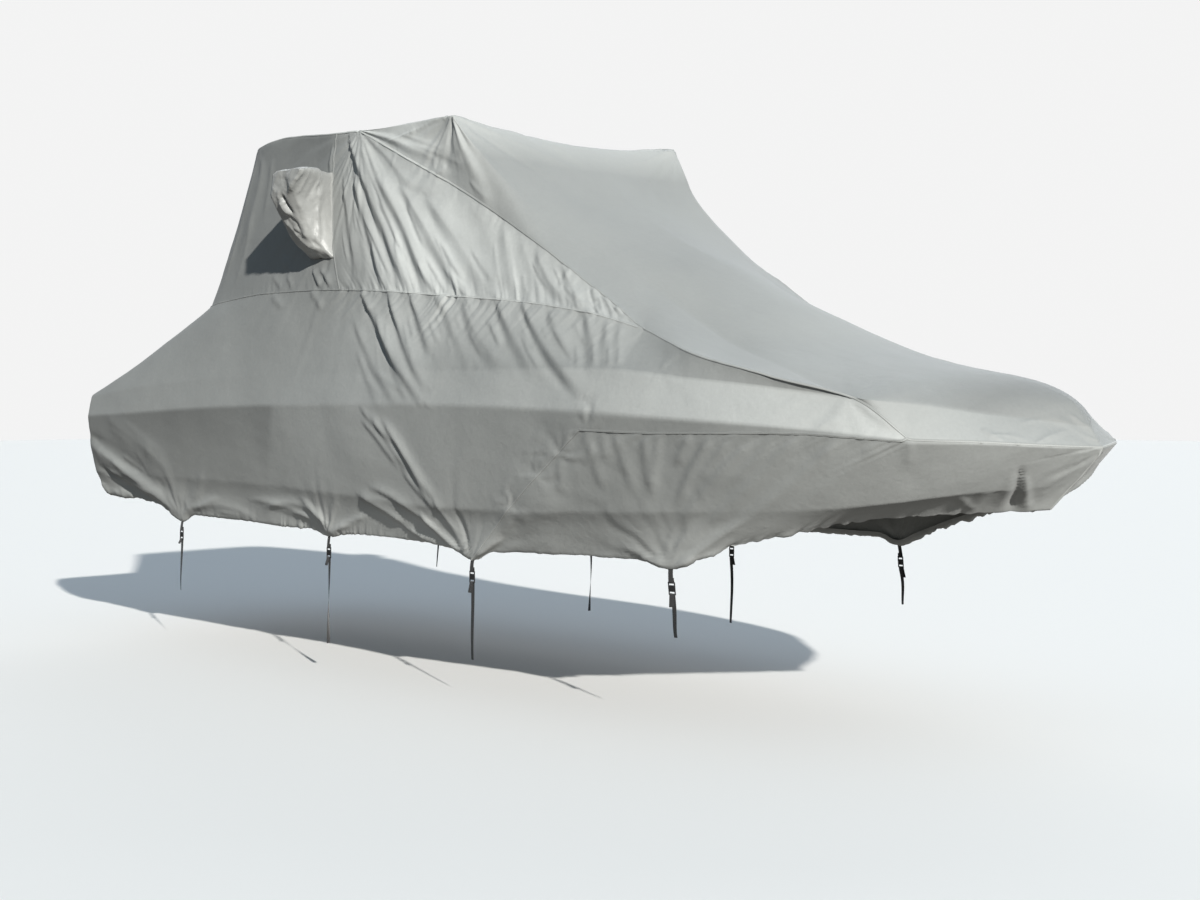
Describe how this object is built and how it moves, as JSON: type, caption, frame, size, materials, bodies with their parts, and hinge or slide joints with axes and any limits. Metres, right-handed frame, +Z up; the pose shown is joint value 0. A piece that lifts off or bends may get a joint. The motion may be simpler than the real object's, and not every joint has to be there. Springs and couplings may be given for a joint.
{
  "type": "tow boat storage cover with tower",
  "caption": "Grey fitted cloth cover for a tow boat with a wake tower: tented tower, side pockets, gathered bow skirt, straps with buckles.",
  "frame": {"origin": "the middle of the roof panel's underside, where the boat's tower holds the cover up", "axes": "+X towards the bow, +Y to port, +Z up"},
  "size_m": [7.1694, 2.6, 3.1201],
  "materials": {
    "cover_cloth": "woven polyester, silver grey, faint sheen",
    "tower_aft_cloth": "woven polyester, darker grey",
    "pocket_cloth": "coated polyester, silver, satin",
    "black_webbing": "woven webbing, matt",
    "black_plastic": "moulded, satin"
  },
  "bodies": {
    "root": {"top_panel": "cover_cloth", "tower_aft": "tower_aft_cloth", "tower_side_stbd": "cover_cloth", "tower_side_port": "cover_cloth", "side_stbd": "cover_cloth", "side_port": "cover_cloth", "bow_skirt_stbd": "cover_cloth", "bow_skirt_port": "cover_cloth", "pocket_stbd": "pocket_cloth", "pocket_port": "pocket_cloth", "strap_s1_web": "black_webbing", "strap_s1_buckle": "black_plastic", "strap_s1_tail": "black_webbing", "strap_s2_web": "black_webbing", "strap_s2_buckle": "black_plastic", "strap_s2_tail": "black_webbing", "strap_s3_web": "black_webbing", "strap_s3_buckle": "black_plastic", "strap_s3_tail": "black_webbing", "strap_s4_web": "black_webbing", "strap_s4_buckle": "black_plastic", "strap_s4_tail": "black_webbing", "strap_p1_web": "black_webbing", "strap_p1_buckle": "black_plastic", "strap_p1_tail": "black_webbing", "strap_p2_web": "black_webbing", "strap_p2_buckle": "black_plastic", "strap_p2_tail": "black_webbing", "strap_p3_web": "black_webbing", "strap_p3_buckle": "black_plastic", "strap_p3_tail": "black_webbing", "strap_p4_web": "black_webbing", "strap_p4_buckle": "black_plastic", "strap_p4_tail": "black_webbing"}
  },
  "joints": []
}
